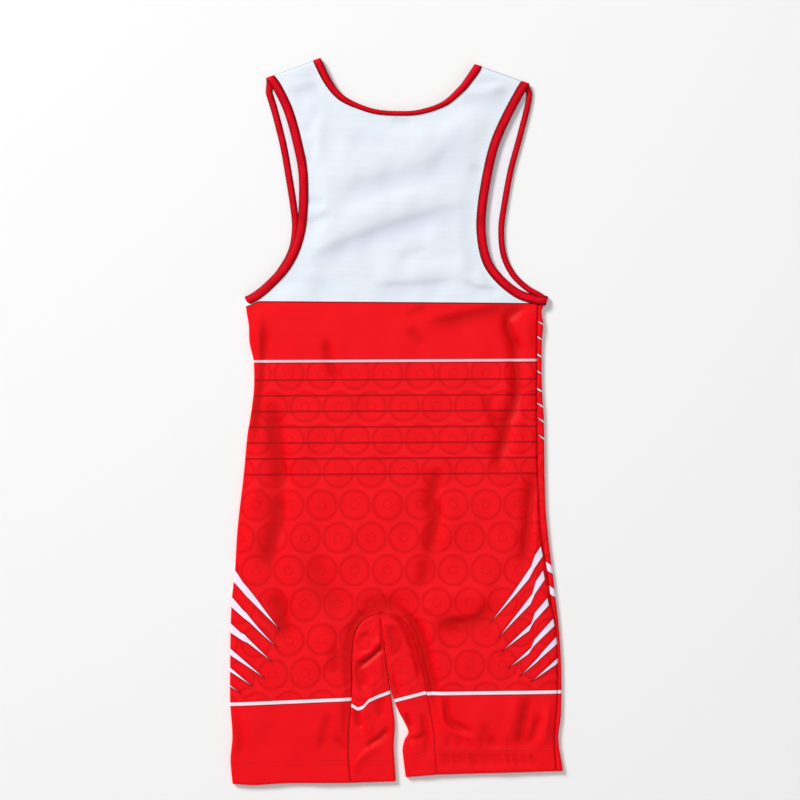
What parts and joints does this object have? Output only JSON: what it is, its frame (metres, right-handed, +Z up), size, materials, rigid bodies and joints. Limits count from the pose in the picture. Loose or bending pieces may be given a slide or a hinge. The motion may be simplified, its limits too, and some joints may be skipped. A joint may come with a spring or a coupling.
{
  "type": "wrestling singlet laid flat",
  "caption": "One-piece wrestling singlet with short legs, laid flat with its back panel up, bound neck and armholes, printed stretch knit",
  "frame": {"origin": "middle of the garment's flat outline, on the surface it lies on", "axes": "+X across the garment towards the wearer's right, +Y from the hems to the shoulders, +Z up from the surface, out of the back panel"},
  "size_m": [0.3864, 0.8427, 0.0092],
  "materials": {
    "knit": "satin",
    "binding_tape": "satin",
    "seam_thread": "matte"
  },
  "bodies": {
    "root": {"back_panel": "knit", "front_panel": "knit", "inner_leg_left": "knit", "inner_leg_right": "knit", "neck_binding": "binding_tape", "armhole_binding_left": "binding_tape", "armhole_binding_right": "binding_tape"}
  },
  "joints": []
}
